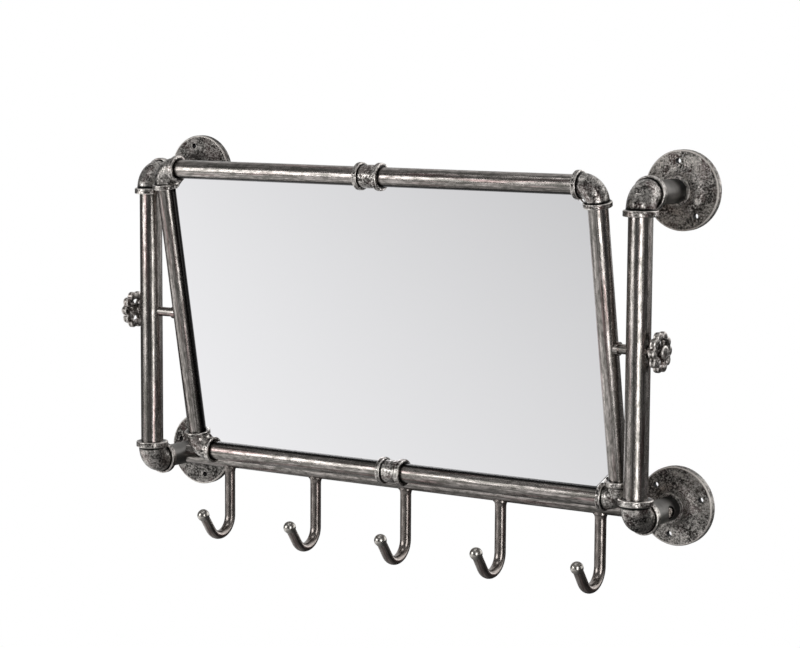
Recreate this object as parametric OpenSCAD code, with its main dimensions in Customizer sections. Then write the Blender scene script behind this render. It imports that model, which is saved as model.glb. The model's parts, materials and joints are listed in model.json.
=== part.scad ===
// Tilting wall mirror built from pipe and pipe fittings, with a rail of five hooks.
// Millimetres. +X is to the viewer's right, +Y goes into the wall, +Z is up.
// The wall is the plane Y = 0. The origin is the middle of the four flanges on that plane.

/* [Mirror frame] */
// Width of the mirror frame, side tube axis to side tube axis
frame_wide = 578; // [400:1:900]
// Height of the mirror frame, bar axis to bar axis
frame_high = 351; // [280:1:700]
// Outside diameter of the frame tubes and of the hook rail
tube_od = 22; // [20:0.5:24]
// Wall of the frame tubes and of the hook rail
tube_wall = 2; // [1.5:0.1:2.5]
// How far the frame hangs to the right of the bracket's middle
frame_shift = 6; // [0:0.5:8]
// Forward lean of the frame at rest, degrees
rest_tilt = 11; // [5:0.5:12]
// Height of the frame's middle above its pivots
frame_lift = 3; // [0:0.5:6]
// Distance of the top bar's joint to the right of the frame's middle
top_joint_off = 5; // [0:1:60]
// Distance of the bottom bar's joint to the left of the frame's middle
bottom_joint_off = 6; // [0:1:60]

/* [Frame fittings] */
// Outside diameter of the frame elbows and couplings at their body
small_body_od = 26.4; // [25.6:0.1:27]
// Outside diameter of their end collars
small_collar_od = 31.6; // [30:0.1:32]
// Width of their end collars
small_collar_w = 6; // [4:0.5:8]
// Bend radius of the frame elbows
small_bend = 17.5; // [16:0.5:20]
// Length of the couplings
coupling_len = 32; // [28:1:50]

/* [Bracket] */
// Outside diameter of the upright and arm pipes
pipe_od = 26.9; // [26:0.1:28]
// Wall of the upright and arm pipes
pipe_wall = 2.6; // [2:0.1:3]
// Length of each arm that shows between its flange and its elbow
arm_show = 57.6; // [52:0.2:100]
// Difference in height between the frame's bars and the arms, at each end
arm_inset = 1; // [0:0.5:3]
// Height of the pivots above the middle of the uprights
pivot_lift = 9; // [6:0.5:12]
// Gap between frame collars and bracket collars when the mirror swings past
swing_gap = 0.4; // [0.3:0.1:4]

/* [Bracket fittings] */
// Outside diameter of the bracket elbows at their body
big_body_od = 32.4; // [31.6:0.1:32.8]
// Outside diameter of their end collars
big_collar_od = 38.6; // [37:0.1:40]
// Width of their end collars
big_collar_w = 7; // [5:0.5:9]
// Bend radius of the bracket elbows
big_bend = 16.4; // [16.4:0.1:20]

/* [Wall flanges] */
// Diameter of the flange plate
flange_od = 89; // [84:1:110]
// Thickness of the flange plate
flange_t = 8; // [5:0.5:12]
// Bevel round the front rim of the plate
flange_bevel = 1.5; // [0.5:0.1:2.5]
// Height of the hub above the wall
hub_len = 23; // [21:0.5:34]
// Outside diameter of the hub's mouth
hub_od = 34; // [31:0.5:38]
// Radius of the hollow curve from hub to plate
hub_fillet = 12; // [8:0.5:13]
// Metal left between the end of the arm and the wall
flange_floor = 3; // [2:0.5:4]
// Diameter of the circle on which the screw holes lie
screw_circle = 65; // [60:0.5:75]
// Diameter of the screw holes
screw_hole = 6.5; // [4:0.1:7.5]

/* [Hook rail] */
// Free gap between the rail and the collars of the bottom bar at rest
rail_gap = 4; // [3:0.5:8]
// Distance from each upright's axis to the hook nearest to it
hook_inset = 73.3; // [60:0.1:110]
// Diameter of the hook rod
hook_rod = 12.5; // [8:0.5:13]
// Length of the straight shank from the rail's axis to the bend
hook_shank = 70; // [45:1:90]
// Radius of the hook's bend, on the rod's axis
hook_bend = 21.5; // [18:0.5:32]
// How far the bend turns, degrees
hook_turn = 144; // [140:1:170]
// Length of the straight tip from the bend to the middle of the ball
hook_tip = 25; // [12:0.5:32]
// Diameter of the ball on the hook's tip
hook_ball = 14.8; // [13.8:0.1:18]
// How far the weld at the top of the hook spreads beyond the rod
weld_spread = 3; // [1.5:0.5:3.5]
// Height of that weld below the rail
weld_high = 6; // [3:0.5:9]
// Diameter of the recess for the rail's screw in the arm
recess_d = 14; // [12:0.5:16]
// Depth of that recess below the arm's side
recess_deep = 5; // [4:0.5:5.5]
// Metal left between that recess and the end of the rail
recess_web = 3; // [2.5:0.5:3.5]
// Length of the plug in each end of the rail
plug_len = 14; // [12:1:20]

/* [Rail screws] */
// Diameter of the rail screw's thread
bolt_d = 6; // [5:0.5:7]
// Length of the rail screw under its head
bolt_len = 12; // [10:1:14]
// Diameter of its head
bolt_head_d = 11; // [9:0.5:11.5]
// Height of its head
bolt_head_h = 3.6; // [2.5:0.1:4]
// Width of the slot in its head
bolt_slot = 1.6; // [1:0.1:2]

/* [Pivots and handwheels] */
// Diameter of the pivot shafts
shaft_d = 11; // [9:0.5:12]
// Diameter of the shoulder between pivot shaft and frame tube
shoulder_d = 15; // [14:0.5:17]
// Length of that shoulder beyond the frame tube
shoulder_len = 2.5; // [2:0.5:4]
// Distance from the upright's side to the handwheel's rim
wheel_off = 8.5; // [7:0.5:14]
// Outside diameter of the handwheel over its lobes
wheel_od = 45; // [40:0.5:60]
// Thickness of the handwheel's rim
wheel_t = 7.5; // [5:0.5:9]
// Diameter of each lobe
lobe_d = 10.5; // [9.5:0.5:12]
// Number of lobes
lobes = 10; // [9:1:11]
// Number of spokes
spokes = 6; // [4:1:6]
// Width of each spoke
spoke_w = 3.6; // [3:0.1:4]
// Radial width of the ring that carries the lobes
ring_w = 6.2; // [5:0.1:7]
// Diameter of the handwheel's hub
wheel_hub_d = 15; // [14:0.5:17]
// Height of the hub's cap outside the rim
hub_cap = 2.8; // [1.5:0.1:5]
// Metal at the closed end of the hub
hub_end = 2.5; // [2:0.5:3]

/* [Mirror] */
// Thickness of the mirror glass
glass_t = 4; // [3:0.5:5]
// Thickness of the backing board
board_t = 3; // [2:0.5:3]
// Distance of the glass and board edges from the axis of the tube that holds them
edge_in = 6.5; // [6:0.1:7.5]

/* [Fits] */
// Radial clearance of a pipe in its fitting
fit_gap = 0.05; // [0.02:0.01:0.1]
// Radial clearance of a pivot shaft in its upright
turn_gap = 0.08; // [0.05:0.01:0.1]
// Clearance beside loose faces, such as the glass in its groove
loose_gap = 0.15; // [0.1:0.05:0.3]
// Clearance between the handwheel's hub and the upright
seat_gap = 0.3; // [0.2:0.05:0.4]
// Bevel on the edges of collars, rims and heads
edge_bevel = 0.8; // [0.3:0.1:1.2]

/* [Hidden] */
$fn = 64;

// Radii of the round stock and fittings
pipe_r = pipe_od / 2;
pipe_bore_r = pipe_r - pipe_wall;
tube_r = tube_od / 2;
tube_bore_r = tube_r - tube_wall;
big_collar_r = big_collar_od / 2;
small_collar_r = small_collar_od / 2;
shaft_r = shaft_d / 2;

// An elbow reaches from its corner to its collar's face; the pipe stops at the socket's shoulder
big_reach = big_bend + big_collar_w;
small_reach = small_bend + small_collar_w;
socket_margin = 1;
big_shoulder = pipe_r + fit_gap + socket_margin;
// In a frame elbow the tube reaches this far into the bend
bend_seat = 3;
small_shoulder = small_bend - bend_seat;
// Width of the stop in a coupling, which keeps the two half bars apart
coupling_stop_w = 2;

// The frame about its pivot: x across, z along the leaning side tubes, y square to its plane
frame_half = frame_wide / 2;
top_h = frame_high / 2 + frame_lift;
bottom_h = frame_high / 2 - frame_lift;
stop_half = coupling_stop_w / 2;

// The bracket, laid out round the frame
side_gap = small_collar_r + big_collar_r + swing_gap + frame_shift;
upright_x = frame_half + side_gap;
arm_z = frame_high / 2 - arm_inset;
upright_y = -(hub_len + arm_show + big_reach);
pivot_z = pivot_lift;

// The bottom bar at rest, and the rail behind it at the height of the lower arms
bar_y = upright_y + bottom_h * sin(rest_tilt);
bar_z = pivot_z - bottom_h * cos(rest_tilt);
rail_z = -arm_z;
rail_far = small_collar_r + tube_r + rail_gap;
rail_y = bar_y + sqrt(rail_far * rail_far - (bar_z - rail_z) * (bar_z - rail_z));
rail_end_x = upright_x + pipe_r - recess_deep - recess_web;

// Five hooks spread evenly along the rail, the third in the middle
hook_pitch = (upright_x - hook_inset) / 2;
middle_hook = 3;
// Angle at which the slots of the rail's screws came to rest
slot_turn = 35;

// Handwheels on the shafts; a shaft reaches this far into the bore of its side tube
shaft_seat = 5;
wheel_x = upright_x + pipe_r + wheel_off;
hub_floor_x = wheel_x + wheel_t + hub_cap - hub_end;
shaft_in = tube_bore_r - shaft_seat;
// Thickness of a spoke as a share of the rim's
spoke_share = 0.6;
// How far the ring reaches past the lobes' centres, as a share of a lobe's radius
ring_share = 1 / 3;

// The glass and its board stand in grooves just behind the axes of the tubes
groove_t = glass_t + board_t + 2 * loose_gap;

// Screw holes of each flange, degrees anticlockwise from +X as seen from the room
holes_top_left = [105, 225, 345];
holes_bottom_left = [42, 162, 282];
holes_bottom_right = [18, 138, 258];
holes_top_right = [98, 200, 302.5];

// Solid of revolution on Z with its two rims bevelled
module bevelled(r, h, b) {
    rotate_extrude()
        polygon([[0, 0], [r - b, 0], [r, b], [r, h - b], [r - b, h], [0, h]]);
}

// Quarter ring from a leg along +X to a leg along -Z, corner of the two legs at the origin
module quarter_bend(r, bend_r) {
    translate([bend_r, 0, -bend_r])
        rotate([90, 0, 0])
        rotate([0, 0, 90])
        rotate_extrude(angle = 90)
        translate([bend_r, 0]) circle(r = r);
}

// Pipe elbow: body, two collars, two sockets and the passage between them
module pipe_elbow(body_r, collar_r, collar_w, bend_r, run_r, bore_r, shoulder) {
    reach = bend_r + collar_w;
    difference() {
        union() {
            quarter_bend(body_r, bend_r);
            translate([bend_r, 0, 0]) rotate([0, 90, 0]) bevelled(collar_r, collar_w, edge_bevel);
            translate([0, 0, -reach]) bevelled(collar_r, collar_w, edge_bevel);
        }
        quarter_bend(bore_r, bend_r);
        translate([shoulder, 0, 0]) rotate([0, 90, 0]) cylinder(r = run_r + fit_gap, h = reach);
        translate([0, 0, -shoulder - reach]) cylinder(r = run_r + fit_gap, h = reach);
    }
}

module small_elbow() {
    pipe_elbow(small_body_od / 2, small_collar_r, small_collar_w, small_bend,
               tube_r, tube_bore_r, small_shoulder);
}

// Bracket elbow: sx picks the side, sz the height; one leg runs to the wall, one to the upright
module bracket_elbow(sx, sz) {
    color("dimgray")
        translate([sx * upright_x, upright_y, sz * arm_z])
        mirror([0, 0, sz > 0 ? 0 : 1])
        rotate([0, 0, 90])
        pipe_elbow(big_body_od / 2, big_collar_r, big_collar_w, big_bend,
                   pipe_r, pipe_bore_r, big_shoulder);
}

// Floor flange, its back on the wall and its hub toward the room
module flange(sx, sz, holes) {
    hub_r = hub_od / 2;
    foot_r = hub_r + hub_fillet;
    rim_r = flange_od / 2;
    color("slategray")
        translate([sx * upright_x, 0, sz * arm_z])
        rotate([90, 0, 0])
        difference() {
            rotate_extrude()
                polygon(concat(
                    [[0, 0], [rim_r, 0], [rim_r, flange_t - flange_bevel],
                     [rim_r - flange_bevel, flange_t]],
                    [for (a = [0 : 9 : 90])
                        [foot_r - hub_fillet * sin(a), flange_t + hub_fillet * (1 - cos(a))]],
                    [[hub_r, hub_len - edge_bevel], [hub_r - edge_bevel, hub_len], [0, hub_len]]));
            translate([0, 0, flange_floor]) cylinder(r = pipe_r + fit_gap, h = hub_len);
            translate([0, 0, -1]) cylinder(r = pipe_bore_r, h = hub_len);
            for (a = holes)
                rotate([0, 0, a]) translate([screw_circle / 2, 0, -1])
                    cylinder(d = screw_hole, h = hub_len);
        }
}

// Arm from the flange's socket to the elbow's socket
arm_len = -upright_y - big_shoulder - flange_floor;
module arm_bar(sx, sz, bore_r) {
    translate([sx * upright_x, -flange_floor, sz * arm_z])
        rotate([90, 0, 0])
        difference() {
            cylinder(r = pipe_r, h = arm_len);
            if (bore_r > 0)
                translate([0, 0, -1]) cylinder(r = bore_r, h = arm_len + 2);
        }
}

module arm_top(sx) {
    color("gray") arm_bar(sx, 1, pipe_bore_r);
}

// Lower arm: solid, with the rail's socket on the inner side and the screw's recess on the outer
module arm_bottom(sx) {
    color("gray")
        difference() {
            arm_bar(sx, -1, 0);
            mirror([sx > 0 ? 0 : 1, 0, 0]) translate([0, rail_y, rail_z]) rotate([0, 90, 0]) {
                cylinder(r = tube_r + fit_gap, h = rail_end_x);
                cylinder(r = bolt_d / 2 + fit_gap, h = upright_x + pipe_r);
                translate([0, 0, rail_end_x + recess_web]) cylinder(d = recess_d, h = pipe_od);
            }
        }
}

// Upright pipe between its two elbows, bored across for the pivot shaft
module upright(sx) {
    half = arm_z - big_shoulder;
    color("darkslategray")
        difference() {
            translate([sx * upright_x, upright_y, -half]) cylinder(r = pipe_r, h = 2 * half);
            translate([sx * upright_x, upright_y, -half - 1]) cylinder(r = pipe_bore_r, h = 2 * half + 2);
            translate([sx * upright_x - pipe_od, upright_y, pivot_z]) rotate([0, 90, 0])
                cylinder(r = shaft_r + turn_gap, h = 2 * pipe_od);
        }
}

// Rail tube with a tapped plug welded in each end
module hook_rail() {
    hollow = rail_end_x - plug_len;
    tapped = bolt_len - recess_web + 1;
    color("dimgray")
        translate([0, rail_y, rail_z])
        rotate([0, 90, 0])
        difference() {
            cylinder(r = tube_r, h = 2 * rail_end_x, center = true);
            cylinder(r = tube_bore_r, h = 2 * hollow, center = true);
            for (s = [-1, 1])
                translate([0, 0, s * (rail_end_x - tapped / 2)])
                    cylinder(r = bolt_d / 2 + fit_gap, h = tapped, center = true);
        }
}

// Slotted screw with its head on Z = 0 upward and its thread below
module rail_screw() {
    difference() {
        union() {
            bevelled(bolt_head_d / 2, bolt_head_h, edge_bevel);
            translate([0, 0, -bolt_len]) cylinder(d = bolt_d, h = bolt_len + 1);
        }
        translate([-bolt_head_d, -bolt_slot / 2, bolt_head_h / 2])
            cube([2 * bolt_head_d, bolt_slot, bolt_head_h]);
    }
}

module rail_screws() {
    color("silver")
        for (s = [0, 1])
            mirror([s, 0, 0])
                translate([rail_end_x + recess_web, rail_y, rail_z])
                rotate([0, 90, 0]) rotate([0, 0, slot_turn]) rail_screw();
}

// Hook: weld, shank, open bend toward the room, straight tip and a ball on its end
module hook(i) {
    rod_r = hook_rod / 2;
    weld_z = tube_r + weld_high;
    color("saddlebrown")
        translate([(i - middle_hook) * hook_pitch, rail_y, rail_z])
        difference() {
            union() {
                translate([0, 0, -hook_shank]) cylinder(r = rod_r, h = hook_shank - tube_r / 2);
                rotate_extrude()
                    polygon(concat(
                        [[0, -weld_z - 1], [rod_r, -weld_z - 1]],
                        [for (a = [0 : 15 : 90])
                            [rod_r + weld_spread * (1 - cos(a)), -weld_z + weld_high * sin(a)]],
                        [[rod_r + weld_spread, -tube_r / 2], [0, -tube_r / 2]]));
                // Full round where the shank runs into the bend
                translate([0, 0, -hook_shank]) sphere(r = rod_r);
                translate([0, -hook_bend, -hook_shank]) {
                    rotate([90, 0, 90]) rotate([0, 0, -hook_turn])
                        rotate_extrude(angle = hook_turn) translate([hook_bend, 0]) circle(r = rod_r);
                    rotate([-hook_turn, 0, 0]) translate([0, hook_bend, -hook_tip]) {
                        cylinder(r = rod_r, h = hook_tip);
                        sphere(d = hook_ball);
                    }
                }
            }
            rotate([0, 90, 0]) cylinder(r = tube_r + fit_gap, h = 4 * hook_rod, center = true);
        }
}

// Places a piece drawn about the pivots, upright, into the leaning frame
module in_frame() {
    translate([frame_shift, upright_y, pivot_z]) rotate([rest_tilt, 0, 0]) children();
}

module frame_elbow(sx, sz) {
    color("dimgray") in_frame()
        translate([sx * frame_half, 0, sz > 0 ? top_h : -bottom_h])
        mirror([sx > 0 ? 1 : 0, 0, 0]) mirror([0, 0, sz > 0 ? 0 : 1]) small_elbow();
}

// Groove for the glass along +X, below a tube's axis
module groove(len) {
    translate([0, -loose_gap, -edge_in + loose_gap - tube_od]) cube([len, groove_t, tube_od]);
}

// Half bar between an elbow and the coupling; x1 is its inner end, measured from the frame's middle
module bar(sx, sz, x1) {
    x0 = frame_half - small_shoulder;
    g0 = frame_half - small_reach;
    len = x0 - x1;
    color("darkslategray") in_frame()
        translate([0, 0, sz > 0 ? top_h : -bottom_h])
        mirror([sx > 0 ? 0 : 1, 0, 0]) mirror([0, 0, sz > 0 ? 0 : 1])
        difference() {
            translate([x1, 0, 0]) rotate([0, 90, 0]) cylinder(r = tube_r, h = len);
            translate([x1 - 1, 0, 0]) rotate([0, 90, 0]) cylinder(r = tube_bore_r, h = len + 2);
            translate([x1 - 1, 0, 0]) groove(g0 - x1 + 1);
        }
}

// Side tube, grooved on its inner side and bored on its outer side for the pivot shaft
module side_tube(sx) {
    low = bottom_h - small_shoulder;
    high = top_h - small_shoulder;
    g_low = bottom_h - small_reach;
    g_high = top_h - small_reach;
    color("darkslategray") in_frame()
        mirror([sx > 0 ? 0 : 1, 0, 0]) translate([frame_half, 0, 0])
        difference() {
            translate([0, 0, -low]) cylinder(r = tube_r, h = low + high);
            translate([0, 0, -low - 1]) cylinder(r = tube_bore_r, h = low + high + 2);
            translate([-edge_in + loose_gap - tube_od, -loose_gap, -g_low])
                cube([tube_od, groove_t, g_low + g_high]);
            rotate([0, 90, 0]) cylinder(r = shaft_r + fit_gap, h = tube_od);
        }
}

// Coupling over the two half bars, with a stop between their ends; x is its middle
module coupling(sz, x) {
    color("dimgray") in_frame()
        translate([x - coupling_len / 2, 0, sz > 0 ? top_h : -bottom_h])
        mirror([0, 0, sz > 0 ? 0 : 1])
        difference() {
            rotate([0, 90, 0]) union() {
                cylinder(d = small_body_od, h = coupling_len);
                bevelled(small_collar_r, small_collar_w, edge_bevel);
                translate([0, 0, coupling_len - small_collar_w])
                    bevelled(small_collar_r, small_collar_w, edge_bevel);
            }
            translate([-1, 0, 0]) rotate([0, 90, 0]) cylinder(r = tube_bore_r, h = coupling_len + 2);
            for (x0 = [-coupling_len, (coupling_len + coupling_stop_w) / 2])
                translate([x0, 0, 0]) rotate([0, 90, 0])
                    cylinder(r = tube_r + fit_gap,
                             h = x0 < 0 ? (3 * coupling_len - coupling_stop_w) / 2 : coupling_len);
            translate([-1, 0, 0]) groove(coupling_len + 2);
        }
}

// Outline of glass and board: edges in the grooves, corners cut to clear the elbows' collars
module pane(thick, y0) {
    w = frame_half - edge_in;
    lo = -bottom_h + edge_in;
    hi = top_h - edge_in;
    cut = small_collar_r + small_reach + 2 * seat_gap - 2 * edge_in;
    in_frame() translate([0, y0 + thick, 0]) rotate([90, 0, 0])
        linear_extrude(height = thick)
        polygon([[-w + cut, lo], [w - cut, lo], [w, lo + cut], [w, hi - cut],
                 [w - cut, hi], [-w + cut, hi], [-w, hi - cut], [-w, lo + cut]]);
}

module mirror_glass() {
    color("lightsteelblue") pane(glass_t, 0);
}

module backing_board() {
    color("sienna") pane(board_t, glass_t);
}

// Pivot shaft: seated in the side tube, shouldered outside it, out through the upright to the hub
module pivot_shaft(sx) {
    x_end = hub_floor_x - sx * frame_shift;
    color("dimgray") in_frame()
        mirror([sx > 0 ? 0 : 1, 0, 0]) {
            translate([frame_half + shaft_in, 0, 0]) rotate([0, 90, 0])
                cylinder(r = shaft_r, h = x_end - frame_half - shaft_in - seat_gap);
            translate([frame_half, 0, 0]) difference() {
                rotate([0, 90, 0]) cylinder(d = shoulder_d, h = tube_r + shoulder_len);
                translate([0, 0, -shoulder_d]) cylinder(r = tube_r + fit_gap, h = 2 * shoulder_d);
            }
        }
}

// Handwheel on Z: its rim starts at Z = 0 and its closed hub reaches back to the upright
module handwheel_shape() {
    hub_r = wheel_hub_d / 2;
    lobe_r = lobe_d / 2;
    lobe_at = wheel_od / 2 - lobe_r;
    ring_r = lobe_at + lobe_r * ring_share;
    boss = wheel_off - seat_gap;
    spoke_t = wheel_t * spoke_share;
    difference() {
        union() {
            for (i = [0 : lobes - 1])
                rotate([0, 0, i * 360 / lobes]) translate([lobe_at, 0, 0])
                    bevelled(lobe_r, wheel_t, edge_bevel);
            cylinder(r = ring_r, h = wheel_t);
        }
        translate([0, 0, -1]) cylinder(r = ring_r - ring_w, h = wheel_t + 2);
    }
    difference() {
        union() {
            for (i = [0 : spokes - 1])
                rotate([0, 0, i * 360 / spokes])
                    translate([0, -spoke_w / 2, (wheel_t - spoke_t) / 2])
                    cube([ring_r - ring_w + 1, spoke_w, spoke_t]);
            translate([0, 0, -boss]) bevelled(hub_r, boss + wheel_t + hub_cap, edge_bevel);
        }
        translate([0, 0, -boss - 1])
            cylinder(r = shaft_r + fit_gap, h = boss + 1 + wheel_t + hub_cap - hub_end);
    }
}

module handwheel(sx) {
    color("black") mirror([sx > 0 ? 0 : 1, 0, 0])
        translate([wheel_x, upright_y, pivot_z]) rotate([0, 90, 0]) rotate([0, 0, 90])
        handwheel_shape();
}

flange(-1, 1, holes_top_left);  // flange_top_left
flange(1, 1, holes_top_right);  // flange_top_right
flange(-1, -1, holes_bottom_left);  // flange_bottom_left
flange(1, -1, holes_bottom_right);  // flange_bottom_right
arm_top(-1);  // arm_top_left
arm_top(1);  // arm_top_right
arm_bottom(-1);  // arm_bottom_left
arm_bottom(1);  // arm_bottom_right
bracket_elbow(-1, 1);  // elbow_top_left
bracket_elbow(1, 1);  // elbow_top_right
bracket_elbow(-1, -1);  // elbow_bottom_left
bracket_elbow(1, -1);  // elbow_bottom_right
upright(-1);  // upright_left
upright(1);  // upright_right
hook_rail();
rail_screws();
hook(1);  // hook_1
hook(2);  // hook_2
hook(3);  // hook_3
hook(4);  // hook_4
hook(5);  // hook_5
frame_elbow(-1, 1);  // frame_elbow_top_left
frame_elbow(1, 1);  // frame_elbow_top_right
frame_elbow(-1, -1);  // frame_elbow_bottom_left
frame_elbow(1, -1);  // frame_elbow_bottom_right
bar(-1, 1, stop_half - top_joint_off);  // bar_top_left
bar(1, 1, stop_half + top_joint_off);  // bar_top_right
bar(-1, -1, stop_half + bottom_joint_off);  // bar_bottom_left
bar(1, -1, stop_half - bottom_joint_off);  // bar_bottom_right
side_tube(-1);  // side_left
side_tube(1);  // side_right
coupling(1, top_joint_off);  // coupling_top
coupling(-1, -bottom_joint_off);  // coupling_bottom
mirror_glass();
backing_board();
pivot_shaft(-1);  // pivot_shaft_left
pivot_shaft(1);  // pivot_shaft_right
handwheel(-1);  // handwheel_left
handwheel(1);  // handwheel_right
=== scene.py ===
"""Looks of the tilting pipe-frame wall mirror: finishes, fittings, hooks, handwheels, stage and camera."""
import functools
import json
import math

import bmesh
import bpy
import numpy as np
from mathutils import Matrix, Vector


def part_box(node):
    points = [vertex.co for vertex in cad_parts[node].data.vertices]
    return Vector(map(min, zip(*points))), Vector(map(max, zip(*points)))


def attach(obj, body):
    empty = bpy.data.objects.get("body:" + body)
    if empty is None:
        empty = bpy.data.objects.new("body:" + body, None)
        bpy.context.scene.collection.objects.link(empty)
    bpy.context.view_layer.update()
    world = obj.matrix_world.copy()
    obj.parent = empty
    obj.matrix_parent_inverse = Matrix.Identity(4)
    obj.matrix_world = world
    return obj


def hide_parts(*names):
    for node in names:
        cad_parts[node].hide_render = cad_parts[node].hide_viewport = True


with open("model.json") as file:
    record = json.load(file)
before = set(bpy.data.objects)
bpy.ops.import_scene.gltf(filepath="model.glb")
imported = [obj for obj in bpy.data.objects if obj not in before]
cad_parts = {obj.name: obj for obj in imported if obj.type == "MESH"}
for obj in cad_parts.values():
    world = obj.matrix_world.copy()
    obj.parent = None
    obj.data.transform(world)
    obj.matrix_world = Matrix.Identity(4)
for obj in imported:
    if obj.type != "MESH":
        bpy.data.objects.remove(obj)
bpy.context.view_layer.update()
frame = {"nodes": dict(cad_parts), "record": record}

bl_info = {
    "name": "Pipe-frame wall mirror",
    "version": (1, 0, 0),
    "blender": (4, 5, 0),
    "location": "3D View > Sidebar > Wall mirror",
    "description": "Dresses the tilting wall mirror's fittings, pipes, hooks, handwheels and glass",
    "category": "Object",
}

MM = 0.001
WHITE = (1.0, 1.0, 1.0)

# The camera's place, its turn to the left, its tilt down and its roll, as measured from the photograph
CAMERA_SPOT = (1.4289, -2.2728, 0.3135)
CAMERA_TURN = math.radians(32.836)
CAMERA_DOWN = math.radians(6.557)
CAMERA_ROLL = math.radians(0.3676)
FOCAL_PIXELS = 2296.24
PICTURE_WIDTH_PIXELS = 800
SENSOR_WIDTH = 36

# Name, place, point faced, width and height, and brightness of each soft box
SOFT_BOXES = (("left_softbox", (-1.95, -2.35, 0.36), (0, -0.1, 0.05), (1.7, 1.35), 4.1),
              ("right_softbox", (0.89, -0.95, -0.05), (0, -0.1, -0.05), (0.42, 0.9), 4.8),
              ("top_softbox", (-0.3, -1.3, 2.3), (0, -0.1, 0), (1.6, 0.5), 1.8))
FLOOR_SIZE = 40
FLOOR_Z = -1.1


# Places read from the frame

def middle(node):
    """Middle of a CAD node's box, in metres."""
    low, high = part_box(node)
    return (Vector(low) + Vector(high)) / 2


def joint(name):
    """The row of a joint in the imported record."""
    return next(j for j in frame["record"]["behaviour"]["joints"] if j["name"] == name)


UPRIGHT_X = middle("upright_right").x
UPRIGHT_Y = middle("upright_right").y
ARM_Z = middle("arm_top_right").z
RAIL = middle("hook_rail")
SCREW_CIRCLE = 32.5 * MM
# Between a pipe and its socket in a fitting
SOCKET_GAP = 0.05 * MM
# Screw holes of each flange, degrees anticlockwise from +X as seen from the room
HOLES = {"top_left": (105, 225, 345), "bottom_left": (42, 162, 282),
         "bottom_right": (18, 138, 258), "top_right": (98, 200, 302.5)}
# How much each flange's colours are dimmed, as painted shade
FLANGE_PAINTED_SHADE = {"top_left": 0.42, "bottom_left": 0.52, "bottom_right": 0.8, "top_right": 1.0}
PIVOT = Vector(joint("mirror_tilt")["pos_m"])


# Sizes and colours that a user would change

def length(name, about, value):
    return bpy.props.FloatProperty(name=name, description=about, default=value, min=0.0, unit="LENGTH")


def colour(name, about, code):
    return bpy.props.FloatVectorProperty(name=name, description=about, default=from_hex(code), size=3,
                                         subtype="COLOR", min=0.0, max=1.0)


def from_hex(code):
    """An sRGB hex colour as linear red, green and blue."""
    parts = [int(code[i:i + 2], 16) / 255 for i in (1, 3, 5)]
    return tuple(p / 12.92 if p <= 0.04045 else ((p + 0.055) / 1.055) ** 2.4 for p in parts)


class MirrorFittingSizes(bpy.types.PropertyGroup):
    big_body: length("Bracket elbow body", "Radius of the bracket elbows at their body", 16.2 * MM)
    big_collar: length("Bracket elbow collar", "Radius of the bracket elbows' end collars", 19.3 * MM)
    big_collar_w: length("Bracket collar width", "Width of the bracket elbows' end collars", 7 * MM)
    big_bend: length("Bracket elbow bend", "Bend radius of the bracket elbows", 16.4 * MM)
    pipe: length("Pipe radius", "Outside radius of upright and arm pipes", 13.45 * MM)
    small_body: length("Frame elbow body", "Radius of frame elbows and couplings at their body", 13.2 * MM)
    small_collar: length("Frame collar", "Radius of the frame fittings' end collars", 15.8 * MM)
    small_collar_w: length("Frame collar width", "Width of the frame fittings' end collars", 6 * MM)
    small_bend: length("Frame elbow bend", "Bend radius of the frame elbows", 17.5 * MM)
    tube: length("Tube radius", "Outside radius of frame tubes and rail", 11 * MM)
    coupling: length("Coupling length", "Length of a coupling", 32 * MM)
    frame_half: length("Half frame width", "Frame's middle to a side tube's axis", 289 * MM)
    frame_shift: length("Frame shift", "Frame's middle to the right of the bracket's middle", 6 * MM)
    top_h: length("Top bar height", "Pivot to the top bar's axis along the leaning frame", 178.5 * MM)
    bottom_h: length("Bottom bar depth", "Pivot to the bottom bar's axis, the same way", 172.5 * MM)
    top_joint: length("Top joint", "Top coupling to the right of the frame's middle", 5 * MM)
    bottom_joint: length("Bottom joint", "Bottom coupling to the left of the frame's middle", 6 * MM)
    lean: bpy.props.FloatProperty(name="Lean", description="Forward lean of the frame at rest",
                                  default=math.radians(11), subtype="ANGLE")


class MirrorHookSizes(bpy.types.PropertyGroup):
    rod: length("Rod radius", "Half the rod's thickness, seen from the side", 5.5 * MM)
    thin: length("Tip radius", "The same where the rod meets the ball", 5.1 * MM)
    oval: bpy.props.FloatProperty(name="Oval", description="Width of the rod over its thickness",
                                  default=1.24, min=1.0)
    shank: length("Shank", "Rail axis to the start of the bend", 70 * MM)
    bend: length("Bend", "Radius of the hook's bend on the rod's axis", 21.5 * MM)
    turn: bpy.props.FloatProperty(name="Turn", description="How far the bend turns",
                                  default=math.radians(144), subtype="ANGLE")
    tip: length("Tip", "End of the bend to the middle of the ball", 25 * MM)
    ball: length("Ball radius", "Radius of the ball on the tip", 7.4 * MM)
    weld: length("Weld", "How far the weld spreads beyond the rod", 1.9 * MM)
    weld_high: length("Weld height", "Height of the weld below the rail", 6 * MM)
    pitch: length("Pitch", "Spacing of the hooks", 128.6 * MM)


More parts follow.
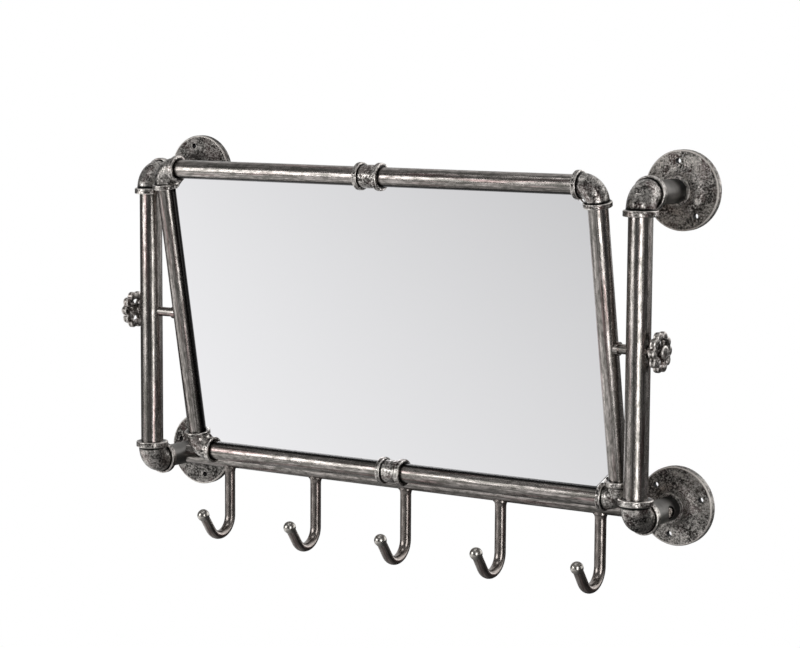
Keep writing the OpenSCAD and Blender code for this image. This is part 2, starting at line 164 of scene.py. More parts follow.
class MirrorWheelSizes(bpy.types.PropertyGroup):
    outer: length("Wheel radius", "Radius over the lobes", 22.5 * MM)
    lobe: length("Lobe radius", "Radius of each lobe", 5.25 * MM)
    ring_out: length("Ring radius", "Outer radius of the ring between lobes", 19 * MM)
    ring_in: length("Opening radius", "Inner radius of the ring", 12.8 * MM)
    thick: length("Rim thickness", "Thickness of the rim", 7.5 * MM)
    hub: length("Hub radius", "Radius of the hub", 7.5 * MM)
    cap: length("Hub cap", "Height of the hub outside the rim", 2.8 * MM)
    boss: length("Hub boss", "Length of the hub inside the rim", 8.2 * MM)
    bore: length("Hub bore", "Radius of the hub's blind bore", 5.55 * MM)
    floor: length("Hub end", "Metal at the closed end of the hub", 2.5 * MM)
    off: length("Rim offset", "Upright's side to the rim", 8.5 * MM)
    lobes: bpy.props.IntProperty(name="Lobes", description="Number of lobes", default=10, min=3)
    spokes: bpy.props.IntProperty(name="Spokes", description="Number of spokes", default=6, min=3)


class MirrorColours(bpy.types.PropertyGroup):
    pipe_dark: colour("Pipe, dark", "Blackened steel in the brushed lines", "#6a6863")
    pipe_light: colour("Pipe, light", "Steel showing through", "#cfc7c3")
    cast_dark: colour("Casting, dark", "Blackened iron in the hollows", "#322f2d")
    cast_light: colour("Casting, light", "Rubbed iron on the high spots", "#cbc7c1")
    worn: colour("Worn edge", "Bare metal on rubbed edges", "#f5efe9")
    scratch: colour("Scratch", "Bare metal in scratches", "#efe9e4")
    stain: colour("Stain", "Brown-purple left by the blackening", "#6e5a58")
    tint: colour("Stain on pipe", "The same, as a glaze over brushed pipe", "#f4dddf")
    # Soot and painted shade: real crazing in the castings, and painted shade in corners, in recesses and on
    # the sides of pipes that face the glass
    soot_and_shade: colour("Soot", "Black left in corners and hairline cracks", "#1c1b1a")
    # Painted shade inside the flanges' screw holes
    hole: colour("Screw hole", "Black inside a screw hole", "#0d0d0d")
    arm: colour("Arm", "Phosphated turned steel", "#8e8c89")
    hook_dark: colour("Hook, dark", "Blackened rod", "#6d6763")
    hook_light: colour("Hook, light", "Rubbed rod", "#c2b9b3")
    ball: colour("Hook ball", "Polished ball on a hook's tip", "#b3afa9")
    wheel_dark: colour("Handwheel, dark", "Blackened wheel in the hollows", "#3b3735")
    wheel_light: colour("Handwheel, light", "Rubbed wheel", "#8f8983")
    glass: colour("Mirror", "Silvering seen through the glass", "#efeff1")
    board: colour("Board", "Hardboard behind the glass", "#6b5139")
    floor: colour("Floor", "Pale floor", "#e9e8e6")


# Node trees

# A map range that eases in and out
SOFT = {"interpolation_type": "SMOOTHSTEP"}


def add(tree, kind, *values, out=None, **settings):
    """Adds a shader node and gives back its first output in use, or the one named out. The settings are
    properties and inputs by name, and the values go to its inputs in order. An output given as a value is
    linked to the input."""
    node = tree.nodes.new("ShaderNode" + kind)
    inputs = []
    for key, value in settings.items():
        if hasattr(node, key):
            setattr(node, key, value)
        else:
            inputs.append((node.inputs[key.replace("_", " ")], value))
    inputs += zip([s for s in node.inputs if s.enabled], values)
    for socket, value in inputs:
        if isinstance(value, bpy.types.NodeSocket):
            tree.links.new(value, socket)
        elif socket.type == "RGBA":
            socket.default_value = (*value[:3], 1.0)
        else:
            socket.default_value = value
    return node.outputs[out] if out else next((s for s in node.outputs if s.enabled), None)


def material(name, **settings):
    """A new material with one Principled shader; settings go straight onto the shader's sockets."""
    m = bpy.data.materials.new(name)
    m.use_nodes = True
    shader = next(n for n in m.node_tree.nodes if n.type == "BSDF_PRINCIPLED")
    for key, value in settings.items():
        shader.inputs[key.replace("_", " ")].default_value = value
    return m, m.node_tree, shader


def surface(tree, shader, base, rough, height, strength, depth):
    """Gives a shader its colour, its roughness if that varies, and its fine relief."""
    tree.links.new(base, shader.inputs["Base Color"])
    if rough:
        tree.links.new(rough, shader.inputs["Roughness"])
    tree.links.new(add(tree, "Bump", strength, depth, Height=height), shader.inputs["Normal"])


def stretched(tree, place, spacing, run, axis, turn=0.0):
    """Coordinates for lines that lie spacing apart and run for run metres along an axis (0, 1 or 2)."""
    scale = [1 / spacing] * 3
    scale[axis] = 1 / run
    turned = add(tree, "VectorRotate", place, rotation_type="X_AXIS", Angle=-turn)
    return add(tree, "Mapping", turned, Scale=scale)


def hairlines(tree, place, size, width):
    """Thin wandering lines about size apart: the places where a noise crosses its middle value."""
    wander = add(tree, "TexNoise", place, 1 / size, 2.0, 0.55)
    off = add(tree, "Math", wander, 0.5, operation="SUBTRACT")
    off = add(tree, "Math", off, operation="ABSOLUTE")
    return add(tree, "MapRange", off, width, width / 3, **SOFT)


def brushed_pipe(name, colours, axis, turn=0.0, spacing=1.1 * MM, run=60 * MM, hook=False, reach=None):
    """Mild steel pipe, drawn, blackened and brushed along its length, then lacquered.
    The eye sees long fine streaks, blotches of patina, brown-purple stains, and hard, grainy highlights.
    Real brushing lines lie about 0.3 mm apart; they are drawn 1.1 mm apart so that they show.
    On a hook the lines follow the bent rod, and its ball is polished. With a reach, which is an axis and a
    distance from the pivots, the side of the pipe that faces the glass gets painted shade in the soot colour."""
    m, tree, shader = material(name, Metallic=1.0)
    dark, light = (colours.hook_dark, colours.hook_light) if hook else (colours.pipe_dark, colours.pipe_light)
    if hook:
        place = add(tree, "Attribute", out="Vector", attribute_name="grain")
    else:
        place = add(tree, "TexCoord", out="Object")
    lines = add(tree, "TexNoise", stretched(tree, place, spacing, run, axis, turn), 1.0, 2.0, 0.55)
    broad = add(tree, "TexNoise", stretched(tree, place, 4 * spacing, 2 * run, axis, turn), 1.0, 2.0, 0.55)
    blotches = add(tree, "TexNoise", stretched(tree, place, 3.5 * MM, 11 * MM, axis, turn), 1.0, 5.0, 0.7)
    streaks = add(tree, "MapRange", lines, 0.3, 0.64, **SOFT)
    patches = add(tree, "MapRange", blotches, 0.3, 0.68, **SOFT)
    tone = add(tree, "Math", streaks, patches, operation="MULTIPLY")
    base = add(tree, "Mix", tone, dark, light, data_type="RGBA")
    stains = add(tree, "MapRange", broad, 0.52, 0.72, **SOFT)
    base = add(tree, "Mix", stains, base, colours.tint, data_type="RGBA", blend_type="MULTIPLY")
    grain = add(tree, "TexNoise", place, 1 / (1.4 * MM), 2.0, 0.55)
    height = add(tree, "Math", grain, 0.5, blotches, operation="MULTIPLY_ADD")
    if hook:
        rubbed = add(tree, "Attribute", out="Fac", attribute_name="wear")
        rubbed = add(tree, "MapRange", rubbed, 0.45, 0.8, **SOFT)
        base = add(tree, "Mix", rubbed, base, colours.ball, data_type="RGBA")
        smoother = add(tree, "MapRange", rubbed, 0.0, 1.0, 0.5, 0.2)
        height = add(tree, "Math", height, smoother, operation="MULTIPLY")
    # Painted shade: the side of the pipe that faces the glass is mixed toward the soot colour
    if reach:
        side, far = reach
        off = add(tree, "VectorMath", place, tuple(PIVOT), operation="SUBTRACT")
        facing = add(tree, "VectorMath", off, add(tree, "TexCoord", out="Normal"), operation="MULTIPLY")
        facing = add(tree, "SeparateXYZ", facing, out=side)
        soot_and_shade = add(tree, "MapRange", facing, -0.72 * far, -0.92 * far, **SOFT)
        base = add(tree, "Mix", soot_and_shade, base, colours.soot_and_shade, data_type="RGBA")
    rough = add(tree, "MapRange", blotches, 0.0, 1.0, 0.36, 0.18)
    surface(tree, shader, base, rough, height, 0.16, 0.2 * MM)
    return m


def edge_wear_and_shade(tree):
    """Bare metal where the mesh's wear is 1, painted shade in the corners where it is -1."""
    return add(tree, "Attribute", out="Fac", attribute_name="wear"), None


def flange_wear_and_hole_shade(place, tree):
    """Bare metal on a flange's front rim, its hub's mouth and round its screw holes; painted shade in the
    holes.
    """
    sx, sz = (1 if place.endswith("right") else -1), (1 if place.startswith("top") else -1)
    centre = (sx * UPRIGHT_X, 0.0, sz * ARM_Z)
    away = add(tree, "VectorMath", add(tree, "TexCoord", out="Object"), centre, operation="SUBTRACT")
    x, y, z = add(tree, "SeparateXYZ", away).node.outputs
    flat = add(tree, "CombineXYZ", x, 0.0, z)
    front = add(tree, "Math", y, -1.0, operation="MULTIPLY")
    radius = add(tree, "VectorMath", flat, operation="LENGTH")

    rim = add(tree, "MapRange", radius, 42.2 * MM, 43.1 * MM, **SOFT)
    corner = add(tree, "MapRange", front, 6.2 * MM, 7 * MM, **SOFT)
    rim = add(tree, "Math", rim, corner, operation="MULTIPLY")
    mouth = add(tree, "MapRange", front, 21.5 * MM, 22.4 * MM, 0.0, 0.5, **SOFT)
    outside = add(tree, "MapRange", radius, 15 * MM, 16.5 * MM, **SOFT)
    mouth = add(tree, "Math", mouth, outside, operation="MULTIPLY")
    wear = add(tree, "Math", rim, mouth, operation="MAXIMUM")

    nearest = 1.0
    for angle in HOLES[place]:
        a = math.radians(angle)
        hole = (SCREW_CIRCLE * math.cos(a), 0.0, SCREW_CIRCLE * math.sin(a))
        from_hole = add(tree, "VectorMath", flat, hole, operation="DISTANCE")
        nearest = add(tree, "Math", from_hole, nearest, operation="MINIMUM")
    ring = add(tree, "MapRange", nearest, 4.4 * MM, 3.6 * MM, 0.0, 0.5, **SOFT)
    face = add(tree, "MapRange", front, 7.6 * MM, 7.9 * MM, **SOFT)
    ring = add(tree, "Math", ring, face, operation="MULTIPLY")
    wear = add(tree, "Math", wear, ring, operation="MAXIMUM")
    # Painted shade: the walls inside each screw hole are made black
    painted_shade = add(tree, "MapRange", nearest, 3.5 * MM, 3.3 * MM, **SOFT)
    inside = add(tree, "MapRange", front, 7.9 * MM, 7.5 * MM, **SOFT)
    return wear, add(tree, "Math", painted_shade, inside, operation="MULTIPLY")


def casting(name, colours, wear, dark, light, dull=0.42, smooth=0.24, shade=1.0):
    """Malleable iron casting, tumbled, blackened, then rubbed back by hand with wire wool.
    The eye sees a mottled grey skin with dark hollows a millimetre or two wide, brown stains, short bright
    scratches and bare metal along the edges. The real sand grain is 0.4 mm; it is drawn at 1.3 mm so that it
    shows. A shade below 1 dims all the casting's colours except the worn edges: painted shade."""
    m, tree, shader = material(name, Metallic=1.0)
    tones = dark, light, colours.stain, colours.scratch
    dark, light, brown, bright = (tuple(v * shade for v in tone) for tone in tones)
    place = add(tree, "TexCoord", out="Object")
    cloud = add(tree, "TexNoise", place, 1 / (13 * MM), 4.0, 0.6)
    skin = add(tree, "TexNoise", place, 1 / (2.6 * MM), 5.0, 0.72)
    mottle = add(tree, "Math", cloud, 0.55, skin, operation="MULTIPLY_ADD")
    mottle = add(tree, "MapRange", mottle, 0.65, 0.93, **SOFT)
    base = add(tree, "Mix", mottle, dark, light, data_type="RGBA")
    stains = add(tree, "TexNoise", place, 1 / (19 * MM), 2.0, 0.55)
    stains = add(tree, "MapRange", stains, 0.48, 0.66, 0.0, 0.5, **SOFT)
    base = add(tree, "Mix", stains, base, brown, data_type="RGBA")

    # Dark crazing and bright wire-wool scratches, both about 0.6 mm wide
    crazing = add(tree, "Math", hairlines(tree, place, 7 * MM, 0.035), 0.5, operation="MULTIPLY")
    base = add(tree, "Mix", crazing, base, colours.soot_and_shade, data_type="RGBA")
    high = add(tree, "MapRange", skin, 0.46, 0.6, **SOFT)
    marks = add(tree, "Math", hairlines(tree, place, 4.5 * MM, 0.05), high, operation="MULTIPLY")
    where = add(tree, "MapRange", cloud, 0.4, 0.58, **SOFT)
    for turn, axis in ((0.5, 0), (2.1, 2), (1.2, 2)):
        lines = add(tree, "TexNoise", stretched(tree, place, 0.8 * MM, 8 * MM, axis, turn), 1.0, 1.0, 0.55)
        lines = add(tree, "MapRange", lines, 0.62, 0.7, **SOFT)
        lines = add(tree, "Math", lines, where, operation="MULTIPLY")
        marks = add(tree, "Math", marks, lines, operation="MAXIMUM")
    base = add(tree, "Mix", marks, base, bright, data_type="RGBA")

    # Bare metal where it is rubbed; painted shade in the corners, where wear is below 0, and inside screw
    # holes
    rubbed, painted_shade = wear(tree)
    uneven = add(tree, "MapRange", skin, 0.0, 1.0, 0.35, 1.6)
    worn = add(tree, "Math", rubbed, uneven, operation="MULTIPLY")
    worn = add(tree, "MapRange", worn, 0.35, 0.95, **SOFT)
    base = add(tree, "Mix", worn, base, colours.worn, data_type="RGBA")
    soot_and_shade = add(tree, "MapRange", rubbed, -0.15, -0.85, **SOFT)
    base = add(tree, "Mix", soot_and_shade, base, colours.soot_and_shade, data_type="RGBA")
    if painted_shade:
        base = add(tree, "Mix", painted_shade, base, colours.hole, data_type="RGBA")
    rough = add(tree, "MapRange", skin, 0.0, 1.0, dull, smooth)
    pits = add(tree, "TexNoise", place, 1 / (1.3 * MM), 2.0, 0.55)
    pits = add(tree, "MapRange", pits, 0.28, 0.5, **SOFT)
    height = add(tree, "Math", pits, 0.6, skin, operation="MULTIPLY_ADD")
    surface(tree, shader, base, rough, height, 0.42, 0.35 * MM)
    return m


def turned_steel(name, colours):
    """Turned steel bar and pipe, phosphated: an even, smooth mid-grey with a silky sheen and faint rings."""
    m, tree, shader = material(name, Metallic=1.0)
    place = add(tree, "TexCoord", out="Object")
    rings = add(tree, "TexNoise", stretched(tree, place, 30 * MM, 1.2 * MM, 1), 1.0, 2.0, 0.55)
    cloud = add(tree, "TexNoise", place, 1 / (18 * MM), 3.0, 0.55)
    dull = tuple(v * 0.62 for v in colours.arm)
    patches = add(tree, "MapRange", cloud, 0.25, 0.75, **SOFT)
    base = add(tree, "Mix", patches, dull, colours.arm, data_type="RGBA")
    # Painted shade in the soot colour: the corner at the flange's hub and the recess round the rail's screw
    x, y, z = add(tree, "SeparateXYZ", place).node.outputs
    corner = add(tree, "Math", cloud, 16 * MM, y, operation="MULTIPLY_ADD")
    corner = add(tree, "MapRange", corner, -38 * MM, -24 * MM, **SOFT)
    across = add(tree, "CombineXYZ", 0.0, y, z)
    recess_shade = add(tree, "VectorMath", across, (0.0, RAIL.y, RAIL.z), operation="DISTANCE")
    recess_shade = add(tree, "MapRange", recess_shade, 8.2 * MM, 7.1 * MM, **SOFT)
    painted_shade = add(tree, "Math", corner, recess_shade, operation="MAXIMUM")
    base = add(tree, "Mix", painted_shade, base, colours.soot_and_shade, data_type="RGBA")
    rough = add(tree, "MapRange", rings, 0.0, 1.0, 0.38, 0.52)
    surface(tree, shader, base, rough, rings, 0.06, 0.1 * MM)
    return m


def zinc_plate(name, colours):
    """Screws of steel, bright zinc-plated: the eye sees shiny, slightly cloudy silver."""
    m, tree, shader = material(name, Metallic=1.0, Roughness=0.22)
    cloud = add(tree, "TexNoise", add(tree, "TexCoord", out="Object"), 1 / (1.2 * MM), 3.0, 0.55)
    cloud = add(tree, "MapRange", cloud, 0.35, 0.6, **SOFT)
    base = add(tree, "Mix", cloud, colours.pipe_light, colours.worn, data_type="RGBA")
    tree.links.new(base, shader.inputs["Base Color"])
    return m


def silvered_glass(name, colours):
    """Float glass, silvered behind: the eye sees a clean, sharp reflection, a little cool and darker."""
    return material(name, Metallic=1.0, Roughness=0.02, Base_Color=(*colours.glass, 1.0))[0]


def hardboard(name, colours):
    """Hardboard: pressed wood fibre, brown, matt, with fibres 4 mm long lying every way."""
    m, tree, shader = material(name, Roughness=0.7)
    fibres = add(tree, "TexNoise", add(tree, "TexCoord", out="Object"), 1 / (1.5 * MM), 5.0, 0.7)
    dark = tuple(v * 0.6 for v in colours.board)
    tone = add(tree, "MapRange", fibres, 0.3, 0.7, **SOFT)
    base = add(tree, "Mix", tone, dark, colours.board, data_type="RGBA")
    surface(tree, shader, base, None, fibres, 0.2, 0.2 * MM)
    return m


# Mesh building

def sweep(name, path, stations, sides=72, closed=False):
    """A surface of rings along a path. path(s) gives the centre and two unit vectors across the path;
    stations are (s, radius, wear). closed joins the last ring to the first, else the ends are capped."""
    points, wears, grains = [], [], []
    turn = np.linspace(0, 2 * math.pi, sides, endpoint=False)
    for s, r, w in stations:
        centre, across, over = path(s)
        ring = np.array(centre) + r * (np.outer(np.cos(turn), across) + np.outer(np.sin(turn), over))
        points.extend(ring.tolist())
        wears.extend([w] * sides)
        grains.extend([(s, r * math.cos(a), r * math.sin(a)) for a in turn])
    count = len(stations)
    faces = []
    for i in range(count if closed else count - 1):
        j = (i + 1) % count
        for k in range(sides):
            n = (k + 1) % sides
            faces.append((i * sides + k, i * sides + n, j * sides + n, j * sides + k))
    if not closed:
        faces.append(tuple(range(sides - 1, -1, -1)))
        faces.append(tuple(range((count - 1) * sides, count * sides)))
    return mesh_object(name, points, faces, wears, grains)


def mesh_object(name, points, faces, wears, grains):
    """A new object. Each point has its wear, and its place along and across the rod as grain."""
    mesh = bpy.data.meshes.new(name)
    mesh.from_pydata([tuple(p) for p in points], [], faces)
    wear = mesh.attributes.new("wear", "FLOAT", "POINT")
    wear.data.foreach_set("value", np.array(wears, dtype=np.float32))
    grain = mesh.attributes.new("grain", "FLOAT_VECTOR", "POINT")
    grain.data.foreach_set("vector", np.array(grains, dtype=np.float32).ravel())
    obj = bpy.data.objects.new(name, mesh)
    bpy.context.scene.collection.objects.link(obj)
    return obj


def settle(obj, matrix, mat, sharp=38):
    """Moves the mesh into the row frame, gives it its finish and smooths it between sharp edges."""
    obj.data.transform(matrix)
    clean_mesh(obj.data)
    obj.data.polygons.foreach_set("use_smooth", [True] * len(obj.data.polygons))
    obj.data.set_sharp_from_angle(angle=math.radians(sharp))
    obj.data.materials.append(mat)
    return obj


def clean_mesh(mesh):
    """Welds doubled points and turns every face outward."""
    bm = bmesh.new()
    bm.from_mesh(mesh)
    bmesh.ops.remove_doubles(bm, verts=bm.verts, dist=1e-7)
    bmesh.ops.recalc_face_normals(bm, faces=bm.faces)
    bm.to_mesh(mesh)
    bm.free()
    mesh.update()


def join(name, parts):
    """Several meshes as one object."""
    bpy.ops.object.select_all(action="DESELECT")
    for p in parts:
        p.select_set(True)
    bpy.context.view_layer.objects.active = parts[0]
    bpy.ops.object.join()
    parts[0].name = name
    parts[0].data.name = name
    return parts[0]


def collar(start, direction, radius, width, body, lip):
    """Stations of an end collar from its face at start; lip is the radius of the socket in its face."""
    edge = 0.9 * MM
    # Rows with wear below 0 are painted shade: inside the socket's mouth and in the corner between collar and
    # body
    rows = [(0, lip, -1.0), (0, lip + 1.6 * MM, -0.8), (0, radius - 1.6 * edge, 0.15),
            (0.2 * edge, radius - 0.7 * edge, 0.75), (0.6 * edge, radius - 0.2 * edge, 1.0),
            (1.2 * edge, radius, 0.55), (2 * edge, radius, 0.2), (width - 2 * edge, radius, 0.2),
            (width - 1.2 * edge, radius, 0.55), (width - 0.6 * edge, radius - 0.2 * edge, 1.0),
            (width - 0.2 * edge, radius - 0.7 * edge, 0.7), (width, radius - 1.6 * edge, -0.2),
            (width, body + 0.8 * MM, -1.0), (width + 0.3 * MM, body + 0.2 * MM, -1.0),
            (width + 1.2 * MM, body, -0.7), (width + 2.2 * MM, body, 0.0)]
    rows = [(start + direction * s, r, w) for s, r, w in rows]
    return rows if direction > 0 else rows[::-1]


def elbow_mesh(name, body, rim, width, bend, run, deep=6 * MM):
    """Elbow with its corner at the origin and its legs along +X and -Z; run is the radius of its pipe and
    deep is how far the pipe's socket reaches in."""
    arc = bend * math.pi / 2
    total = 2 * width + arc

    def path(s):
        if s <= width:
            return (bend + width - s, 0, 0), np.array((0, 0, 1.0)), np.array((0, 1.0, 0))
        if s >= width + arc:
            return (0, 0, -bend - (s - width - arc)), np.array((-1.0, 0, 0)), np.array((0, 1.0, 0))
        a = math.pi / 2 + (s - width) / bend
        return ((bend + bend * math.cos(a), 0, -bend + bend * math.sin(a)),
                np.array((math.cos(a), 0, math.sin(a))), np.array((0, 1.0, 0)))

    lip = run + SOCKET_GAP
    steps = np.linspace(width + 3 * MM, total - width - 3 * MM, 14)
    rows = collar(0, 1, rim, width, body, lip)
    rows += [(s, body, 0.12) for s in steps]
    rows += collar(total, -1, rim, width, body, lip)
    rows += [(total - deep, lip, 0.0)]
    rows += [(s, lip - 0.4 * MM, 0.0) for s in steps[::-1]]
    rows += [(deep, lip, 0.0)]
    return sweep(name, path, rows, closed=True)


def coupling_mesh(name, body, rim, width, long, run):
    """Coupling along X with its middle at the origin, open at both ends."""

    def path(s):
        return (s - long / 2, 0, 0), np.array((0, 0, 1.0)), np.array((0, -1.0, 0))

    lip = run + SOCKET_GAP
    rows = collar(0, 1, rim, width, body, lip)
    rows += [(s, body, 0.12) for s in np.linspace(width + 3 * MM, long - width - 3 * MM, 6)]
    rows += collar(long, -1, rim, width, body, lip)
    return sweep(name, path, rows, closed=True)


def hook_mesh(name, size, tube):
    """A hook hanging from a rail of radius tube, whose axis runs along X through the origin."""
    arc = size.turn * size.bend
    end = size.shank + arc + size.tip
    meet = math.sqrt(size.ball ** 2 - (size.thin * size.oval) ** 2)

    def path(d):
        # The rod is oval, the ball round
        wide = np.array((size.oval if d < end - meet - 0.1 * MM else 1.0, 0, 0))
        if d <= size.shank:
            return (0, 0, -d), wide, np.array((0, -1.0, 0))
        a = min((d - size.shank) / size.bend, size.turn)
        on = max(d - size.shank - arc, 0.0)
        along = np.array((0, -math.sin(a), -math.cos(a)))
        centre = np.array((0, -size.bend * (1 - math.cos(a)), -size.shank - size.bend * math.sin(a)))
        return centre + on * along, wide, np.cross(along, (1.0, 0, 0))

    low = tube + size.weld_high
    rows = [(tube - 5 * MM, size.rod + size.weld, 0.1)]
    rows += [(low - size.weld_high * math.cos(a), size.rod + size.weld * (1 - math.sin(a)), 0.25)
             for a in np.linspace(0, math.pi / 2, 8)]
    rows += [(d, size.rod, 0.1) for d in np.linspace(low + 2 * MM, size.shank, 5)]
    rows += [(size.shank + t * (end - meet - size.shank), size.rod + t * (size.thin - size.rod), 0.1)
             for t in np.linspace(0.02, 0.998, 34)]
    rows += [(end + x, math.sqrt(max(size.ball ** 2 - x * x, 1e-10)), 0.9)
             for x in size.ball * np.sin(np.linspace(-math.asin(meet / size.ball), math.pi / 2, 24))]
    return sweep(name, path, rows, 40)


def lobed_ring(name, size, steps=240, section=20):
    """Rim of the handwheel: a ring with round lobes and a softly rounded section."""
    reach = size.outer - size.lobe
    apart = 2 * math.pi / size.lobes
    points, wears = [], []
    for i in range(steps):
        a = 2 * math.pi * i / steps
        off = ((a / apart + 0.5) % 1 - 0.5) * apart
        side = size.lobe ** 2 - (reach * math.sin(off)) ** 2
        out = size.ring_out
        if side > 0:
            out = max(out, reach * math.cos(off) + math.sqrt(side))
        for k in range(section):
            t = 2 * math.pi * k / section
            x = math.copysign(abs(math.cos(t)) ** 0.5, math.cos(t))
            y = math.copysign(abs(math.sin(t)) ** 0.5, math.sin(t))
            r = (out + size.ring_in) / 2 + (out - size.ring_in) / 2 * x
            points.append((r * math.cos(a), r * math.sin(a), size.thick / 2 * (1 + y)))
            wears.append(0.8 if x > 0.7 and 0.5 < abs(y) < 0.98 else 0.1)
    faces = []
    for i in range(steps):
        here, there = i * section, (i + 1) % steps * section
        for k in range(section):
            n = (k + 1) % section
            faces.append((here + k, there + k, there + n, here + n))
    return mesh_object(name, points, faces, wears, points)


def spoke(name, size, angle):
    """One spoke, oval, a little thicker at both ends."""
    out = np.array((math.cos(angle), math.sin(angle), 0))
    side = np.array((-math.sin(angle), math.cos(angle), 0))

    def path(d):
        return out * d + np.array((0, 0, size.thick / 2)), side, np.array((0, 0, 1.25))

    start = size.hub - 1 * MM
    long = size.ring_in - size.hub + 2.5 * MM
    rows = [(start + t * long, (1.8 + 0.5 * (2 * t - 1) ** 2) * MM, 0.3) for t in np.linspace(0, 1, 7)]
    return sweep(name, path, rows, 20)


def hub(name, size):
    """Closed hub with a blind bore from its inner end and a softly domed cap."""
    top = size.thick + size.cap
    edge = 1.2 * MM

    def path(d):
        return (0, 0, d), np.array((1.0, 0, 0)), np.array((0, 1.0, 0))

    rows = [(top - size.floor, 0.05 * MM, 0), (top - size.floor, size.bore, 0), (-size.boss, size.bore, 0),
            (-size.boss, size.hub - 0.8 * MM, 0.2), (-size.boss + 0.8 * MM, size.hub, 0.4)]
    rows += [(d, size.hub, 0.15) for d in np.linspace(-size.boss + 2 * MM, top - edge - 1 * MM, 5)]
    rows += [(top - edge + edge * math.sin(a), size.hub - edge + edge * math.cos(a), 0.85)
             for a in np.linspace(0, math.pi / 2 - 0.2, 5)]
    rows += [(top - 0.02 * MM, (size.hub - edge) * 0.6, 0.3), (top, 0.05 * MM, 0.3)]
    return sweep(name, path, rows, 48)


def leaning(size):
    """From the frame's own axes, upright about its pivots, into the row frame at rest."""
    return Matrix.Translation((size.frame_shift, PIVOT.y, PIVOT.z)) @ Matrix.Rotation(size.lean, 4, "X")


# Studio

def studio_world():
    """White to the camera. To gloss, a dim studio: dark in front, white behind the part, brightest to the
    right of it, and grey above."""
    world = bpy.data.worlds.new("studio")
    world.use_nodes = True
    tree = world.node_tree
    tree.nodes.clear()
    way = add(tree, "TexCoord", out="Generated")
    x, y, z = add(tree, "SeparateXYZ", way).node.outputs
    behind = add(tree, "MapRange", y, -0.15, 0.75, 0.075, 0.62, **SOFT)
    above = add(tree, "MapRange", z, 0.15, 0.9, 0.0, 0.16, **SOFT)
    right = add(tree, "VectorMath", way, (0.6, 0.8, 0.0), operation="DOT_PRODUCT")
    right = add(tree, "MapRange", right, 0.7, 0.9, 0.0, 1.0, **SOFT)
    tone = add(tree, "Math", behind, above, operation="ADD")
    tone = add(tree, "Math", tone, right, operation="ADD")
    lit = add(tree, "Math", tone, add(tree, "LightPath", out="Is Camera Ray"), operation="MAXIMUM")
    add(tree, "OutputWorld", add(tree, "Background", WHITE, lit))
    return world


def floor_paint(name, tone):
    """Pale matt floor paint with a pool of light left of the part. The camera sees white, but for shade."""
    m, tree, shader = material(name, Base_Color=(*tone, 1.0), Roughness=0.8)
    camera, gloss = (add(tree, "LightPath", out=ray) for ray in ("Is Camera Ray", "Is Glossy Ray"))
    place = add(tree, "TexCoord", out="Object")
    far = add(tree, "VectorMath", place, operation="LENGTH")
    fade = add(tree, "MapRange", far, 0.6, 3.0, 0.94, 1.0, **SOFT)
    seen = add(tree, "Math", camera, fade, operation="MULTIPLY")
    # The pool is brighter to the left and toward the wall, ends about 3 m from its middle, and is dimmer
    # under the part
    x, y, z = add(tree, "SeparateXYZ", place).node.outputs
    slope = add(tree, "Math", x, -0.17, 1.013, operation="MULTIPLY_ADD")
    slope = add(tree, "Math", y, 0.198, slope, operation="MULTIPLY_ADD")
    pool = add(tree, "VectorMath", place, (-1.7, -2.1, 0.0), operation="DISTANCE")
    pool = add(tree, "MapRange", pool, 1.9, 3.6, 1.0, 0.0, **SOFT)
    pool = add(tree, "Math", pool, slope, operation="MULTIPLY")
    under = add(tree, "MapRange", far, 0.8, 1.45, 0.42, 1.0, **SOFT)
    pool = add(tree, "Math", pool, under, operation="MULTIPLY")
    pool = add(tree, "Math", pool, 0.06, operation="MAXIMUM")
    shown = add(tree, "MixShader", gloss, shader.outputs[0], add(tree, "Emission", WHITE, pool))
    shown = add(tree, "MixShader", seen, shown, add(tree, "Emission", WHITE, 1.0))
    out = next(n for n in tree.nodes if n.type == "OUTPUT_MATERIAL")
    tree.links.new(shown, out.inputs["Surface"])
    return m


def area_light(name, spot, aim, size, glow):
    """A soft box, width by height, turned to face aim; glow is how bright its face is."""
    data = bpy.data.lights.new(name, "AREA")
    data.shape = "RECTANGLE"
    data.size, data.size_y = size
    data.energy = glow * math.pi * size[0] * size[1]
    light = bpy.data.objects.new(name, data)
    bpy.context.scene.collection.objects.link(light)
    light.visible_camera = False
    light.location = spot
    light.rotation_euler = (Vector(aim) - Vector(spot)).to_track_quat("-Z", "Y").to_euler()


# Operators, one for each group of pieces

def finish_node(node, mat):
    """A CAD node keeps its shape and gets a better finish."""
    obj = frame["nodes"][node]
    if not obj.data.materials:
        obj.data.materials.append(mat)
    for slot in obj.material_slots:
        slot.material = mat


class WALLMIRROR_OT_finishes(bpy.types.Operator):
    """Makes the shared casting finishes and dresses the flanges"""
    bl_idname = "wallmirror.finishes"
    bl_label = "Castings and flanges"

    def execute(self, context):
        colours = context.scene.mirror_colours
        casting("malleable iron fitting", colours, edge_wear_and_shade, colours.cast_dark, colours.cast_light)
        for place, shade in FLANGE_PAINTED_SHADE.items():
            iron = casting("cast iron floor flange, " + place.replace("_", " "), colours,
                           functools.partial(flange_wear_and_hole_shade, place), colours.cast_dark, colours.cast_light,
                           dull=0.66, smooth=0.46, shade=shade)
            finish_node("flange_" + place, iron)
        return {"FINISHED"}


